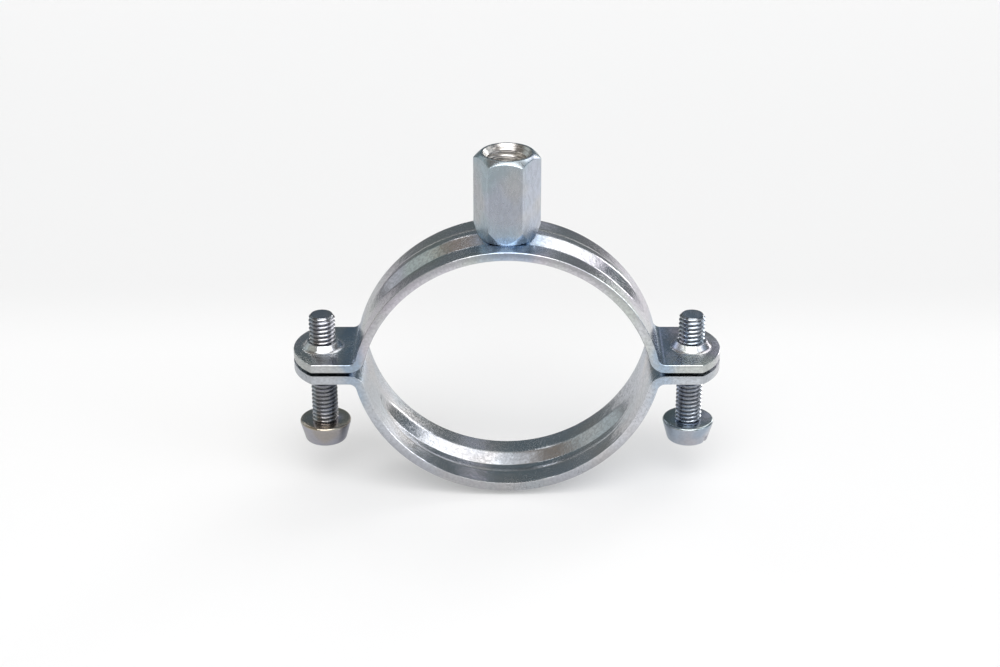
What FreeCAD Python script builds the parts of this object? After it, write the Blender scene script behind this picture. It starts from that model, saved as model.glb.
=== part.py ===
import FreeCAD, Part
import math
import os
import Sketcher

# Two-piece steel pipe clamp that hangs from a threaded rod.
# Frame: X across the two screws, Y along the pipe, Z up.
# The origin is the middle of the ring, on the plane that parts the two halves.
# All sizes are in millimetres and degrees.

SIZES = [
    # strip that both halves are bent from
    ("strip_width", 20.0),
    ("strip_thickness", 2.0),
    ("seat_radius", 33.0),
    ("arc_inset", 5.0),
    ("split_gap", 0.8),
    ("bend_radius", 1.8),
    ("flange_end_radius", 13.0),
    ("flange_reach", 6.6),
    ("screw_spacing", 84.0),
    # stiffening bead pressed outwards along each arc
    ("bead_width", 10.0),
    ("bead_height", 1.3),
    ("bead_crown", 1.2),
    ("bead_bend_radius", 2.0),
    ("bead_start_angle", 29.0),
    ("bead_lead_angle", 1.0),
    ("bead_fade_angle", 14.0),
    ("bead_slope_share", 0.2),
    ("bead_end_share", 0.15),
    # screws
    ("screw_diameter", 6.0),
    ("screw_length", 26.6),
    ("screw_drop", 16.2),
    ("screw_tip_chamfer", 0.6),
    ("head_diameter", 12.1),
    ("head_end_diameter", 9.3),
    ("head_height", 5.1),
    ("head_edge_chamfer", 0.6),
    ("slot_width", 1.3),
    ("slot_depth", 1.9),
    ("left_slot_angle", 8.0),
    ("right_slot_angle", -27.0),
    # holes that the screws pass
    ("thread_clearance", 0.05),
    ("hole_clearance", 0.5),
    ("collar_height", 1.5),
    ("collar_wall", 0.45),
    ("collar_flare", 1.6),
    # hexagonal threaded boss welded on the upper half
    ("boss_flats", 13.0),
    ("boss_length", 19.6),
    ("boss_turn", -3.3),
    ("boss_bore_diameter", 8.5),
    ("boss_mouth_diameter", 10.7),
    ("boss_top_diameter", 11.8),
    ("boss_top_chamfer_angle", 40.0),
    ("boss_end_diameter", 12.7),
    ("boss_end_chamfer_angle", 69.0),
    ("weld_gap", 0.05),
    ("seat_border", 0.9),
]

X_AXIS = FreeCAD.Vector(1, 0, 0)
Y_AXIS = FreeCAD.Vector(0, 1, 0)
Z_AXIS = FreeCAD.Vector(0, 0, 1)
ORIGIN = FreeCAD.Vector(0, 0, 0)
# angle between the cross-sections that a fading bead is lofted through
SECTION_STEP = 7.5
TOLERANCE = 1e-6


def make_sheet(doc):
    """Write the driving sizes into the document's spreadsheet."""
    sheet = doc.addObject("Spreadsheet::Sheet", "Sizes")
    for row, (alias, value) in enumerate(SIZES, start=1):
        sheet.set(f"A{row}", alias)
        sheet.set(f"B{row}", str(value))
        sheet.setAlias(f"B{row}", alias)
    doc.recompute()
    return sheet


def plane_of(body, role):
    """One of the body's own origin planes."""
    return next(item for item in body.Origin.OriginFeatures if item.Role == role)


def new_sketch(body, name, role, offset=None):
    """A sketch on one of the body's origin planes, set off by an expression along its normal."""
    sketch = body.newObject("Sketcher::SketchObject", name)
    sketch.AttachmentSupport = [(plane_of(body, role), "")]
    sketch.MapMode = "FlatFace"
    if offset:
        sketch.setExpression("AttachmentOffset.Base.z", offset)
    return sketch


def add_dimension(sketch, constraint, expression):
    """Add one dimension and bind it to the sheet."""
    index = sketch.addConstraint(constraint)
    sketch.setExpression(f"Constraints[{index}]", expression)
    return index


def polygon(sketch, values, corners):
    """A closed polygon whose corners are pairs of expressions, evaluated first as start values."""
    points = [FreeCAD.Vector(values(across), values(up), 0) for across, up in corners]
    first = sketch.GeometryCount
    count = len(points)
    for index, point in enumerate(points):
        sketch.addGeometry(Part.LineSegment(point, points[(index + 1) % count]), False)
    for index in range(count):
        following = first + (index + 1) % count
        sketch.addConstraint(Sketcher.Constraint("Coincident", first + index, 2, following, 1))
    for index, (across, up) in enumerate(corners):
        low = Sketcher.Constraint("DistanceX", -1, 1, first + index, 1, points[index].x)
        high = Sketcher.Constraint("DistanceY", -1, 1, first + index, 1, points[index].y)
        add_dimension(sketch, low, across)
        add_dimension(sketch, high, up)


def circle(sketch, values, across, up, radius):
    """A circle with its centre and radius bound to the sheet."""
    centre = FreeCAD.Vector(values(across), values(up), 0)
    index = sketch.addGeometry(Part.Circle(centre, Z_AXIS, values(radius)), False)
    low = Sketcher.Constraint("DistanceX", -1, 1, index, 3, centre.x)
    high = Sketcher.Constraint("DistanceY", -1, 1, index, 3, centre.y)
    add_dimension(sketch, low, across)
    add_dimension(sketch, high, up)
    add_dimension(sketch, Sketcher.Constraint("Radius", index, values(radius)), radius)
    return index


class Values:
    """Evaluates an expression of the sheet, so that a sketch starts near its solved form."""

    def __init__(self, sheet):
        self.sheet = sheet

    def __call__(self, expression):
        return float(self.sheet.evalExpression(str(expression)))

    def __getattr__(self, alias):
        return float(self.sheet.get(alias))


def radial_point(values, azimuth, radius, along):
    """A point at an azimuth about the arc's centre line, which lies below the parting plane."""
    angle = math.radians(azimuth)
    return FreeCAD.Vector(radius * math.cos(angle), along, radius * math.sin(angle) - values.arc_inset)


def bead_share(values, azimuth):
    """How much of the bead's full size stands at an azimuth, from 0 to 1, eased at both ends."""
    from_end = min(azimuth, 180.0 - azimuth) - values.bead_start_angle
    share = min(max(from_end / values.bead_fade_angle, 0.0), 1.0)
    return share * share * (3.0 - 2.0 * share)


def flank_angle(values):
    """Slope of the bead's straight flank at full height, between its two tangent bends."""
    across = (values.bead_width - values.bead_crown) / 2.0
    bends = 2.0 * values.bead_bend_radius
    rise = bends - values.bead_height
    return math.atan2(across, rise) - math.acos(bends / math.hypot(across, rise))


class BeadSection:
    """One side of the bead's cross-section on the strip's middle surface, where it stands at a share.

    The flank keeps its slope and its bends while the bead gets lower, so its outline runs out to a
    point, and the slope itself only flattens on the last share of the height.
    """

    def __init__(self, values, share):
        full = flank_angle(values)
        radius = values.bead_bend_radius
        full_flank = (values.bead_width - values.bead_crown) / 2.0 - 2.0 * radius * math.sin(full)
        size = values.bead_end_share + (1.0 - values.bead_end_share) * share
        self.angle = full * min(share / values.bead_slope_share, 1.0)
        self.bend_across = radius * math.sin(max(self.angle, full * values.bead_slope_share))
        self.flank_across = full_flank * size
        self.crown = values.bead_crown / 2.0 * size
        self.foot = self.crown + 2.0 * self.bend_across + self.flank_across
        self.height = 2.0 * self.bend_rise(self.angle) + self.flank_across * math.tan(self.angle)

    def bend_rise(self, turned):
        """Height gained by a bend that has turned through part of the flank's slope."""
        if not self.angle:
            return 0.0
        return self.bend_across * (1.0 - math.cos(turned)) / math.sin(self.angle)

    def bend_run(self, turned):
        """Way across the strip taken by a bend that has turned through part of the flank's slope."""
        if not self.angle:
            return self.bend_across
        return self.bend_across * math.sin(turned) / math.sin(self.angle)


def surface_edges(values, azimuth, level, offset, share):
    """One face of the strip across its width: margin, bend, flank and bend, crown, and back down again."""
    bead = BeadSection(values, share)
    half_width = values.strip_width / 2.0
    halfway = bead.angle / 2.0

    def at(side, along, rise, lean):
        radius = level + rise + offset * math.cos(lean)
        return radial_point(values, azimuth, radius, side * (along + offset * math.sin(lean)))

    def bend(start, middle, end):
        if bead.angle:
            return Part.Arc(start, middle, end).toShape()
        return Part.makeLine(start, end)

    def half(side):
        tip = at(side, half_width, 0.0, 0.0)
        foot_start = at(side, bead.foot, 0.0, 0.0)
        foot_middle = at(side, bead.foot - bead.bend_run(halfway), bead.bend_rise(halfway), halfway)
        flank_low = at(side, bead.foot - bead.bend_across, bead.bend_rise(bead.angle), bead.angle)
        high = bead.height - bead.bend_rise(bead.angle)
        flank_high = at(side, bead.crown + bead.bend_across, high, bead.angle)
        near_crown = bead.height - bead.bend_rise(halfway)
        crown_middle = at(side, bead.crown + bead.bend_run(halfway), near_crown, halfway)
        crown_end = at(side, bead.crown, bead.height, 0.0)
        return [
            Part.makeLine(tip, foot_start),
            bend(foot_start, foot_middle, flank_low),
            Part.makeLine(flank_low, flank_high),
            bend(flank_high, crown_middle, crown_end),
        ]

    crown_ends = [at(side, bead.crown, bead.height, 0.0) for side in (1.0, -1.0)]
    return half(1.0) + [Part.makeLine(*crown_ends)] + half(-1.0)


def strip_section(values, azimuth):
    """Closed cross-section of the strip, with its bead, at one azimuth."""
    share = bead_share(values, azimuth)
    half_sheet = values.strip_thickness / 2.0
    half_width = values.strip_width / 2.0
    inner = values.seat_radius
    outer = inner + values.strip_thickness
    middle = inner + half_sheet
    outside = surface_edges(values, azimuth, middle, half_sheet, share)
    inside = surface_edges(values, azimuth, middle, -half_sheet, share)
    sides = []
    for along in (-half_width, half_width):
        inner_corner = radial_point(values, azimuth, inner, along)
        outer_corner = radial_point(values, azimuth, outer, along)
        sides.append(Part.makeLine(inner_corner, outer_corner))
    return Part.Wire(Part.__sortEdges__(outside + inside + sides))


def boss_seat_height(values):
    """Height of the flat seat under the boss: the strip's own outer face at the top of the arc."""
    return values.seat_radius + values.strip_thickness - values.arc_inset


def arc_shape(values, with_seat):
    """The beaded arc between the two bends: revolved at full height, lofted where the bead fades out."""
    start = values.bead_start_angle - values.bead_lead_angle
    full = values.bead_start_angle + values.bead_fade_angle
    count = int(round((full - start) / SECTION_STEP))
    azimuths = [start + (full - start) * index / count for index in range(count + 1)]
    fading = Part.makeLoft([strip_section(values, azimuth) for azimuth in azimuths], True, False)
    arc_centre = FreeCAD.Vector(0, 0, -values.arc_inset)
    section = Part.Face(strip_section(values, full))
    middle = section.revolve(arc_centre, Y_AXIS.negative(), 180.0 - 2.0 * full)
    shape = middle.fuse([fading, fading.mirror(ORIGIN, X_AXIS)])
    if not with_seat:
        return shape
    # under the boss the bead is pressed back flat, so the groove is closed there
    inner = values.seat_radius
    outer = inner + values.strip_thickness
    border = values.boss_end_diameter / 2.0 + values.seat_border
    axis_low = FreeCAD.Vector(0, -values.strip_width / 2.0, -values.arc_inset)
    ring = Part.makeCylinder(outer, values.strip_width, axis_low, Y_AXIS)
    ring = ring.cut(Part.makeCylinder(inner, values.strip_width, axis_low, Y_AXIS))
    plug = Part.makeCylinder(border, outer, ORIGIN, Z_AXIS).common(ring)
    shape = shape.fuse(plug)
    # the boss's tapered end sinks into the bead down to the seat
    end_radius = values.boss_end_diameter / 2.0 + values.weld_gap
    depth = values.bead_height + values.strip_thickness
    spread = depth / math.tan(math.radians(values.boss_end_chamfer_angle))
    floor = FreeCAD.Vector(0, 0, boss_seat_height(values))
    return shape.cut(Part.makeCone(end_radius, end_radius + spread, depth, floor, Z_AXIS))


def flange_profile(body, values):
    """Side view of one flange with its bend, from its tip to the radial face of the arc."""
    sketch = new_sketch(body, "FlangeProfile", "XZ_Plane")
    inner = values.seat_radius
    sheet = values.strip_thickness
    outer = inner + sheet
    under = values.split_gap / 2.0
    top = under + sheet
    bend = values.bend_radius
    tip = values.screw_spacing / 2.0 + values.flange_reach
    centre_z = -values.arc_inset
    bend_z = top + bend
    bend_x = math.sqrt((outer + bend) ** 2 - (bend_z - centre_z) ** 2)
    face = math.radians(values.bead_start_angle - values.bead_lead_angle)
    touch = math.atan2(bend_z - centre_z, bend_x)

    def vector(across, up):
        return FreeCAD.Vector(across, up, 0)

    def arc(centre, radius, low, high):
        return Part.ArcOfCircle(Part.Circle(centre, Z_AXIS, radius), low, high)

    arc_centre = vector(0, centre_z)
    bend_centre = vector(bend_x, bend_z)
    face_low = vector(inner * math.cos(face), centre_z + inner * math.sin(face))
    face_high = vector(outer * math.cos(face), centre_z + outer * math.sin(face))
    indices = sketch.addGeometry([
        Part.LineSegment(vector(tip, under), vector(bend_x, under)),
        arc(bend_centre, bend + sheet, math.pi + touch, 1.5 * math.pi),
        arc(arc_centre, inner, touch, face),
        Part.LineSegment(face_low, face_high),
        arc(arc_centre, outer, touch, face),
        arc(bend_centre, bend, math.pi + touch, 1.5 * math.pi),
        Part.LineSegment(vector(bend_x, top), vector(tip, top)),
        Part.LineSegment(vector(tip, top), vector(tip, under)),
    ], False)
    under_line, under_bend, inner_arc, face_line, outer_arc, top_bend, top_line, tip_line = indices
    for first, first_end, second, second_end in (
        (under_line, 2, under_bend, 2),
        (under_bend, 1, inner_arc, 1),
        (outer_arc, 1, top_bend, 1),
        (top_bend, 2, top_line, 1),
    ):
        sketch.addConstraint(Sketcher.Constraint("Tangent", first, first_end, second, second_end))
    for first, first_end, second, second_end in (
        (inner_arc, 2, face_line, 1),
        (face_line, 2, outer_arc, 2),
        (top_line, 2, tip_line, 1),
        (tip_line, 2, under_line, 1),
        (inner_arc, 3, outer_arc, 3),
    ):
        sketch.addConstraint(Sketcher.Constraint("Coincident", first, first_end, second, second_end))
    sketch.addConstraint(Sketcher.Constraint("Horizontal", under_line))
    sketch.addConstraint(Sketcher.Constraint("Horizontal", top_line))
    sketch.addConstraint(Sketcher.Constraint("Vertical", tip_line))
    sketch.addConstraint(Sketcher.Constraint("PointOnObject", inner_arc, 3, -2))
    sketch.addConstraint(Sketcher.Constraint("PointOnObject", inner_arc, 3, face_line))
    add_dimension(sketch, Sketcher.Constraint("DistanceY", -1, 1, inner_arc, 3, centre_z),
                  "-Sizes.arc_inset")
    add_dimension(sketch, Sketcher.Constraint("Radius", inner_arc, inner), "Sizes.seat_radius")
    add_dimension(sketch, Sketcher.Constraint("Radius", outer_arc, outer),
                  "Sizes.seat_radius + Sizes.strip_thickness")
    add_dimension(sketch, Sketcher.Constraint("Radius", top_bend, bend), "Sizes.bend_radius")
    add_dimension(sketch, Sketcher.Constraint("Radius", under_bend, bend + sheet),
                  "Sizes.bend_radius + Sizes.strip_thickness")
    add_dimension(sketch, Sketcher.Constraint("DistanceX", -1, 1, under_line, 1, tip),
                  "Sizes.screw_spacing / 2 + Sizes.flange_reach")
    add_dimension(sketch, Sketcher.Constraint("DistanceY", -1, 1, under_line, 1, under),
                  "Sizes.split_gap / 2")
    add_dimension(sketch, Sketcher.Constraint("DistanceY", tip_line, 2, tip_line, 1, sheet),
                  "Sizes.strip_thickness")
    add_dimension(sketch, Sketcher.Constraint("Angle", face_line, face),
                  "(Sizes.bead_start_angle - Sizes.bead_lead_angle) * 1deg")
    return sketch


def mirror_left(body, name, feature):
    """Repeat a feature on the other side of the ring."""
    mirrored = body.newObject("PartDesign::Mirrored", name)
    mirrored.Originals = [feature]
    mirrored.MirrorPlane = (plane_of(body, "YZ_Plane"), [""])
    body.Tip = mirrored
    return mirrored


def flange_end_cut(body, values):
    """Shears each flange's end to its shallow arc."""
    sketch = new_sketch(body, "FlangeEnd", "XY_Plane")
    radius = values.flange_end_radius
    half_width = values.strip_width / 2.0
    tip = values.screw_spacing / 2.0 + values.flange_reach
    centre_x = tip - radius
    half_angle = math.asin(half_width / radius)
    corner_x = centre_x + radius * math.cos(half_angle)
    far_x = tip + radius
    corners = [
        FreeCAD.Vector(corner_x, half_width, 0),
        FreeCAD.Vector(far_x, half_width, 0),
        FreeCAD.Vector(far_x, -half_width, 0),
        FreeCAD.Vector(corner_x, -half_width, 0),
    ]
    end_circle = Part.Circle(FreeCAD.Vector(centre_x, 0, 0), Z_AXIS, radius)
    high, side, low, arc = sketch.addGeometry([
        Part.LineSegment(corners[0], corners[1]),
        Part.LineSegment(corners[1], corners[2]),
        Part.LineSegment(corners[2], corners[3]),
        Part.ArcOfCircle(end_circle, -half_angle, half_angle),
    ], False)
    sketch.addConstraint(Sketcher.Constraint("Coincident", high, 2, side, 1))
    sketch.addConstraint(Sketcher.Constraint("Coincident", side, 2, low, 1))
    sketch.addConstraint(Sketcher.Constraint("Coincident", low, 2, arc, 1))
    sketch.addConstraint(Sketcher.Constraint("Coincident", arc, 2, high, 1))
    sketch.addConstraint(Sketcher.Constraint("Horizontal", high))
    sketch.addConstraint(Sketcher.Constraint("Horizontal", low))
    sketch.addConstraint(Sketcher.Constraint("Vertical", side))
    sketch.addConstraint(Sketcher.Constraint("PointOnObject", arc, 3, -1))
    reach = "Sizes.screw_spacing / 2 + Sizes.flange_reach"
    add_dimension(sketch, Sketcher.Constraint("DistanceX", -1, 1, arc, 3, centre_x),
                  f"{reach} - Sizes.flange_end_radius")
    add_dimension(sketch, Sketcher.Constraint("Radius", arc, radius), "Sizes.flange_end_radius")
    add_dimension(sketch, Sketcher.Constraint("DistanceX", -1, 1, side, 1, far_x),
                  f"{reach} + Sizes.flange_end_radius")
    add_dimension(sketch, Sketcher.Constraint("DistanceY", -1, 1, side, 1, half_width),
                  "Sizes.strip_width / 2")
    pocket = body.newObject("PartDesign::Pocket", "FlangeEndCut")
    pocket.Profile = sketch
    pocket.Type = "ThroughAll"
    pocket.Midplane = True
    return pocket


def screw_holes(body, values, radius):
    """The hole that each screw passes."""
    sketch = new_sketch(body, "ScrewHoles", "XY_Plane")
    for side in ("", "-"):
        circle(sketch, values, f"{side}Sizes.screw_spacing / 2", "0", radius)
    pocket = body.newObject("PartDesign::Pocket", "ScrewHoleCut")
    pocket.Profile = sketch
    pocket.Type = "ThroughAll"
    pocket.Midplane = True
    return pocket


def tapped_collar(body):
    """The flared collar that the tapped hole's extrusion raises on a flange's top face."""
    collar = body.newObject("PartDesign::AdditiveCone", "Collar")
    root = "Sizes.strip_thickness / 2"
    bore = "Sizes.screw_diameter / 2 + Sizes.thread_clearance"
    collar.setExpression("Radius1", f"{bore} + Sizes.collar_wall + Sizes.collar_flare")
    collar.setExpression("Radius2", f"{bore} + Sizes.collar_wall")
    collar.setExpression("Height", f"{root} + Sizes.collar_height")
    collar.setExpression("Placement.Base.x", "Sizes.screw_spacing / 2")
    collar.setExpression("Placement.Base.z", f"Sizes.split_gap / 2 + {root}")
    return collar


def make_band(doc, values, label, tapped):
    """One half of the ring, modelled as the upper half."""
    arc = doc.addObject("Part::Feature", f"{label}_arc")
    arc.Shape = arc_shape(values, tapped)
    body = doc.addObject("PartDesign::Body", label)
    body.Label = label
    body.BaseFeature = arc
    doc.recompute()
    pad = body.newObject("PartDesign::Pad", "Flange")
    pad.Profile = flange_profile(body, values)
    pad.setExpression("Length", "Sizes.strip_width")
    pad.Midplane = True
    doc.recompute()
    mirror_left(body, "LeftFlange", pad)
    doc.recompute()
    end_cut = flange_end_cut(body, values)
    doc.recompute()
    mirror_left(body, "LeftFlangeEnd", end_cut)
    doc.recompute()
    clearance = "hole_clearance"
    if tapped:
        clearance = "thread_clearance"
        collar = tapped_collar(body)
        doc.recompute()
        mirror_left(body, "LeftCollar", collar)
        doc.recompute()
    body.Tip = screw_holes(body, values, f"Sizes.screw_diameter / 2 + Sizes.{clearance}")
    doc.recompute()
    return body


def make_boss(doc, values):
    """The hexagonal boss: flats, rounded-off corners at both ends, bore and countersunk mouth."""
    body = doc.addObject("PartDesign::Body", "threaded_boss")
    body.Label = "threaded_boss"
    hexagon = new_sketch(body, "Hexagon", "XY_Plane")
    corner = "Sizes.boss_flats / 2 / cos(30deg)"
    corners = [(f"{corner} * cos({60 * k}deg)", f"{corner} * sin({60 * k}deg)") for k in range(6)]
    polygon(hexagon, values, corners)
    pad = body.newObject("PartDesign::Pad", "Flats")
    pad.Profile = hexagon
    pad.setExpression("Length", "Sizes.boss_length")
    doc.recompute()

    corner_cuts = new_sketch(body, "CornerCuts", "XZ_Plane")
    beyond = "Sizes.boss_flats"
    top = "Sizes.boss_top_diameter / 2"
    end = "Sizes.boss_end_diameter / 2"
    polygon(corner_cuts, values, [
        (top, "Sizes.boss_length"),
        (beyond, "Sizes.boss_length"),
        (beyond, f"Sizes.boss_length - ({beyond} - {top}) * tan(Sizes.boss_top_chamfer_angle * 1deg)"),
    ])
    polygon(corner_cuts, values, [
        (end, "0"),
        (beyond, f"({beyond} - {end}) * tan(Sizes.boss_end_chamfer_angle * 1deg)"),
        (beyond, "0"),
    ])
    groove = body.newObject("PartDesign::Groove", "CornerRounding")
    groove.Profile = corner_cuts
    groove.ReferenceAxis = (corner_cuts, ["V_Axis"])
    groove.Angle = 360.0
    doc.recompute()

    bore_profile = new_sketch(body, "BoreProfile", "XZ_Plane")
    bore = "Sizes.boss_bore_diameter / 2"
    mouth = "Sizes.boss_mouth_diameter / 2"
    polygon(bore_profile, values, [
        ("0", "0"),
        (bore, "0"),
        (bore, f"Sizes.boss_length - ({mouth} - {bore})"),
        (mouth, "Sizes.boss_length"),
        ("0", "Sizes.boss_length"),
    ])
    bore_cut = body.newObject("PartDesign::Groove", "Bore")
    bore_cut.Profile = bore_profile
    bore_cut.ReferenceAxis = (bore_profile, ["V_Axis"])
    bore_cut.Angle = 360.0
    doc.recompute()
    body.setExpression("Placement.Base.z", "Sizes.seat_radius + Sizes.strip_thickness - Sizes.arc_inset")
    body.setExpression("Placement.Rotation.Angle", "Sizes.boss_turn * 1deg")
    return body


def make_screw(doc, values, label, side, slot_angle):
    """A fully threaded screw with a slotted, tapered head at its lower end, thread left plain."""
    body = doc.addObject("PartDesign::Body", label)
    body.Label = label
    profile = new_sketch(body, "Turning", "XZ_Plane")
    shank = "Sizes.screw_diameter / 2"
    polygon(profile, values, [
        ("0", "-Sizes.head_height"),
        ("Sizes.head_end_diameter / 2", "-Sizes.head_height"),
        ("Sizes.head_diameter / 2", "0"),
        (shank, "0"),
        (shank, "Sizes.screw_length - Sizes.screw_tip_chamfer"),
        (f"{shank} - Sizes.screw_tip_chamfer", "Sizes.screw_length"),
        ("0", "Sizes.screw_length"),
    ])
    turned = body.newObject("PartDesign::Revolution", "Turned")
    turned.Profile = profile
    turned.ReferenceAxis = (profile, ["V_Axis"])
    turned.Angle = 360.0
    doc.recompute()

    chamfer = body.newObject("PartDesign::Chamfer", "HeadEdge")
    low = -values.head_height
    end_edges = [
        f"Edge{index}"
        for index, edge in enumerate(turned.Shape.Edges, start=1)
        if edge.Closed and abs(edge.BoundBox.ZMin - low) < TOLERANCE and edge.BoundBox.ZLength < TOLERANCE
    ]
    chamfer.Base = (turned, end_edges)
    chamfer.setExpression("Size", "Sizes.head_edge_chamfer")
    doc.recompute()

    slot = new_sketch(body, "Slot", "XY_Plane", "-Sizes.head_height")
    half_length = "Sizes.head_diameter"
    half_width = "Sizes.slot_width / 2"
    polygon(slot, values, [
        (f"-{half_length}", f"-{half_width}"),
        (half_length, f"-{half_width}"),
        (half_length, half_width),
        (f"-{half_length}", half_width),
    ])
    cut = body.newObject("PartDesign::Pocket", "SlotCut")
    cut.Profile = slot
    cut.setExpression("Length", "Sizes.slot_depth")
    cut.Reversed = True
    doc.recompute()
    body.setExpression("Placement.Base.x", f"{side}Sizes.screw_spacing / 2")
    body.setExpression("Placement.Base.z", "-Sizes.screw_drop")
    body.setExpression("Placement.Rotation.Angle", f"Sizes.{slot_angle} * 1deg")
    return body


def check_and_export(doc, pieces):
    """Stop on a failed object or an unsound solid, then write one STEP file for each piece."""
    failed = [item.Name for item in doc.Objects if {"Invalid", "Error"} & set(item.State)]
    if failed:
        raise RuntimeError(f"failed objects: {failed}")
    for piece in pieces:
        shape = piece.Shape
        if shape.isNull() or not shape.isValid() or len(shape.Solids) != 1:
            raise RuntimeError(f"{piece.Label} is not one sound solid")
    os.makedirs("parts", exist_ok=True)
    for piece in pieces:
        box = piece.Shape.optimalBoundingBox(False, False)
        piece.Shape.exportStep(f"parts/{piece.Label}.step")
        print(f"{piece.Label}: volume {piece.Shape.Volume:.1f}, x {box.XMin:.2f}..{box.XMax:.2f}, "
              f"y {box.YMin:.2f}..{box.YMax:.2f}, z {box.ZMin:.2f}..{box.ZMax:.2f}")


def main():
    """Build the clamp's five pieces."""
    doc = FreeCAD.newDocument("PipeClamp")
    sheet = make_sheet(doc)
    values = Values(sheet)
    upper = make_band(doc, values, "upper_band", True)
    lower = make_band(doc, values, "lower_band", False)
    lower.Placement = FreeCAD.Placement(ORIGIN, FreeCAD.Rotation(Y_AXIS, 180))
    boss = make_boss(doc, values)
    left = make_screw(doc, values, "left_screw", "-", "left_slot_angle")
    right = make_screw(doc, values, "right_screw", "", "right_slot_angle")
    doc.recompute()
    check_and_export(doc, [upper, lower, boss, left, right])


main()
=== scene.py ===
"""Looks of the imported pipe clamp: bright zinc plating on bent strip, hexagon bar and screws.

Meshes are modelled in millimetres in the clamp's own frame, with X across the screws, Y along the
pipe, Z up and the origin in the ring's middle. Each finished mesh is scaled to metres.
"""
import logging
import math
from contextlib import contextmanager
from dataclasses import dataclass, field
from enum import Enum
from typing import Callable, Iterator, Sequence

import bmesh
import bpy
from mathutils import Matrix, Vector


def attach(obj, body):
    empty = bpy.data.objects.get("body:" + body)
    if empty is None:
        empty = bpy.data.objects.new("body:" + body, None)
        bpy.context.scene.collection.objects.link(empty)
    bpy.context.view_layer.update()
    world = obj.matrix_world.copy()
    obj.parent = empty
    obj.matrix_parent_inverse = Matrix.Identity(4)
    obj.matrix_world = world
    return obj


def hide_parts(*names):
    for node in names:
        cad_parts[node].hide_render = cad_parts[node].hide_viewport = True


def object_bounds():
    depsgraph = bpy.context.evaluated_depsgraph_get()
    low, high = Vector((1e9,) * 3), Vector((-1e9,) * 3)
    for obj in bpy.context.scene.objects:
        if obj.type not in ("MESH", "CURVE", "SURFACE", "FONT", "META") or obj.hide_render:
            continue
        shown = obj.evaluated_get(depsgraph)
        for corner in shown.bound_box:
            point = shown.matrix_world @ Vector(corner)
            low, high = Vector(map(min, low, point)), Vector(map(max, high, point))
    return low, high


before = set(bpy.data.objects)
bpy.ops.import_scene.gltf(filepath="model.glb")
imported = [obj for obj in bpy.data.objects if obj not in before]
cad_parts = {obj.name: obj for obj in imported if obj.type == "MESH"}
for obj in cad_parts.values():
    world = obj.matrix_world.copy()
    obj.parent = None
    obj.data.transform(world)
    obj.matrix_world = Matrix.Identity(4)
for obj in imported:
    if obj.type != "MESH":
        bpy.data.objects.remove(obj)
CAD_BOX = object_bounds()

logging.basicConfig(level=logging.INFO, format="%(name)s: %(message)s")
LOG = logging.getLogger("pipe_clamp")

MILLIMETRE = 0.001
MERGE_DISTANCE = 0.0005
ROUND_STEPS = 96

Piece = bpy.types.Object
Node = bpy.types.Node
Socket = bpy.types.NodeSocket
Outputs = bpy.types.NodeOutputs
Point = Sequence[float]
Profile = list[tuple[float, float]]
Colour = tuple[float, float, float, float]
Ramp = tuple[float, float, float, float]
Change = tuple[float, float, float]

ORIGIN = (0.0, 0.0, 0.0)
ALONG_PIPE = (0.0, 1.0, 0.0)
UPRIGHT = (0.0, 0.0, 1.0)
WHITE = (1.0, 1.0, 1.0, 1.0)
BLACK = (0.0, 0.0, 0.0, 1.0)


class Side(Enum):
    """The side of the ring that a screw stands on."""

    LEFT = -1
    RIGHT = 1

    @property
    def word(self) -> str:
        """The side's name in lower case."""
        return self.name.lower()

    def place(self, distance: float) -> tuple[float, float, float]:
        """The point on this side at a distance from the origin."""
        return self.value * distance, 0.0, 0.0


class Join(Enum):
    """How one closed mesh is combined with another."""

    ADD = "UNION"
    CUT = "DIFFERENCE"
    KEEP_COMMON = "INTERSECT"


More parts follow.
